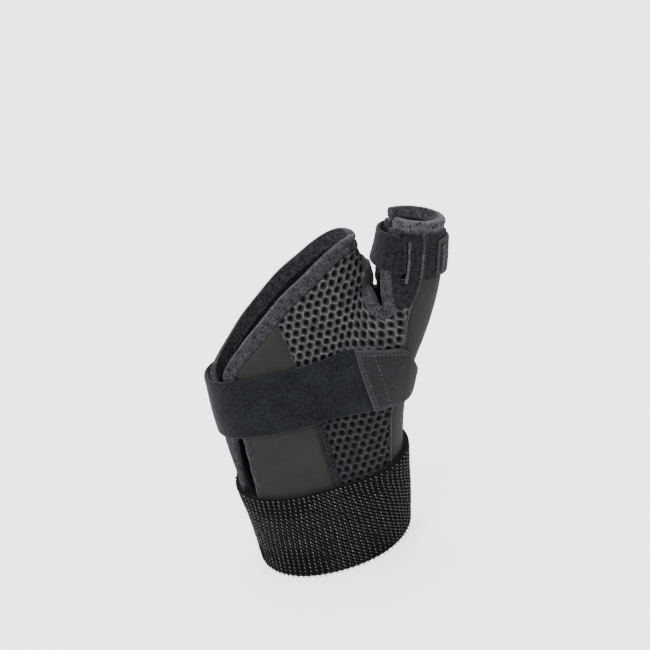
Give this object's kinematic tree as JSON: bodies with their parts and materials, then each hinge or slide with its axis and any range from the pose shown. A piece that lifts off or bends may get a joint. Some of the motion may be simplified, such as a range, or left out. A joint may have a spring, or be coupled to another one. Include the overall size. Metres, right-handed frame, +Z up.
{
  "type": "thumb spica splint",
  "caption": "Soft thumb and wrist splint of padded panels: ribbed forearm cuff, bound palm edge, open thumb sleeve, wrist strap and thumb strap with hook tabs.",
  "frame": {"origin": "on the limb's axis inside the forearm cuff, at about mid height of the cuff", "axes": "+Z up the limb toward the fingers, -Y toward the palm side, +X toward the thumb side"},
  "size_m": [0.1222, 0.0645, 0.1585],
  "materials": {
    "ribbed_elastic": "ribbed knit elastic, matt",
    "laminate": "smooth coated cloth, matt",
    "spacer_mesh": "open spacer knit",
    "loop_pile": "short loop pile",
    "plush_binding": "soft plush binding",
    "fleece": "brushed fleece",
    "strap_elastic": "velvety woven elastic",
    "hook_tab": "fine ribbed hook tape"
  },
  "bodies": {
    "root": {"forearm_cuff": "ribbed_elastic", "palmar_patch": "laminate", "palmar_mesh": "spacer_mesh", "palmar_thumb_flap": "loop_pile", "dorsal_patch": "laminate", "dorsal_mesh": "spacer_mesh", "dorsal_thumb_flap": "loop_pile", "radial_panel": "laminate", "edge_binding": "plush_binding", "thumb_hole_binding": "plush_binding", "thumb_rim": "fleece", "wrist_strap": "strap_elastic", "wrist_strap_tab": "hook_tab", "thumb_strap": "loop_pile", "thumb_strap_tab": "hook_tab"}
  },
  "joints": []
}
